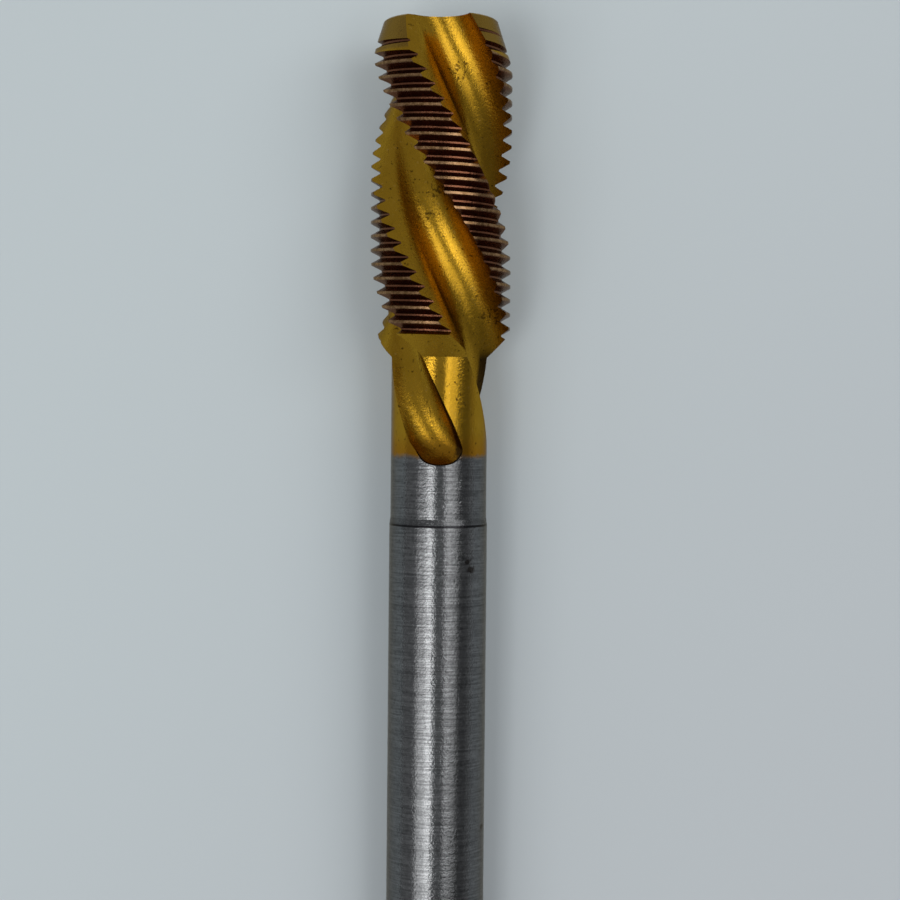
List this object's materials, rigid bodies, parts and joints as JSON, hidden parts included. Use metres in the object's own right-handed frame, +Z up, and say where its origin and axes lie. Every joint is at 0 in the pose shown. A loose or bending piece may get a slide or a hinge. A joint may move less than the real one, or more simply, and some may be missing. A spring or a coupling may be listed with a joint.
{
  "type": "machine tap",
  "caption": "Spiral-flute machine tap: a threaded, fluted cutting end with a short lead, a plain round shank and a square drive end.",
  "frame": {"origin": "on the surface that the tap lies on, under the middle of its length", "axes": "+Y along the tap towards its cutting tip, +Z up; the tap's own axis slopes down 1.82 degrees towards the shank, because the thread is thicker than the shank"},
  "size_m": [0.01, 0.0752, 0.0104],
  "materials": {
    "tool_steel": "ground steel shank; the cutting end has a gold nitride coating, which the base colour averages in"
  },
  "bodies": {
    "root": {"thread_tap": "tool_steel"}
  },
  "joints": []
}
